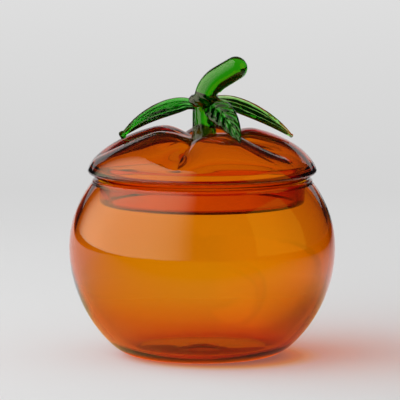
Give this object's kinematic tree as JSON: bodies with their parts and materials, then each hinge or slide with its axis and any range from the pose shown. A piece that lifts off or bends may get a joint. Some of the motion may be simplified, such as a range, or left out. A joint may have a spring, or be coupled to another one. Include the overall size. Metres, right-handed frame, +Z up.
{
  "type": "lidded glass jar",
  "caption": "Round amber glass jar with a lobed lift-off lid, whose knob is a green glass stem with pressed leaves.",
  "frame": {"origin": "middle of the foot, on the table", "axes": "+Z up along the jar's axis, +X to the right and -Y to the front, as in the picture; the crook of the stem bends towards +X"},
  "size_m": [0.1, 0.1, 0.1126],
  "materials": {
    "amber_glass": "clear, fire-polished",
    "green_glass": "clear, flame-worked"
  },
  "bodies": {
    "jar": {"jar_body": "amber_glass"},
    "lid": {"lid_dome": "amber_glass", "lid_collar": "amber_glass", "stem_post": "green_glass", "leaf_knot": "green_glass", "stem_crook": "green_glass", "leaf_left": "green_glass", "leaf_front": "green_glass", "leaf_right": "green_glass"}
  },
  "joints": [
    {"name": "lid_lift", "type": "slide", "parent": "jar", "child": "lid", "axis": [0, 0, 1], "range_m": [0, 0.06]}
  ]
}
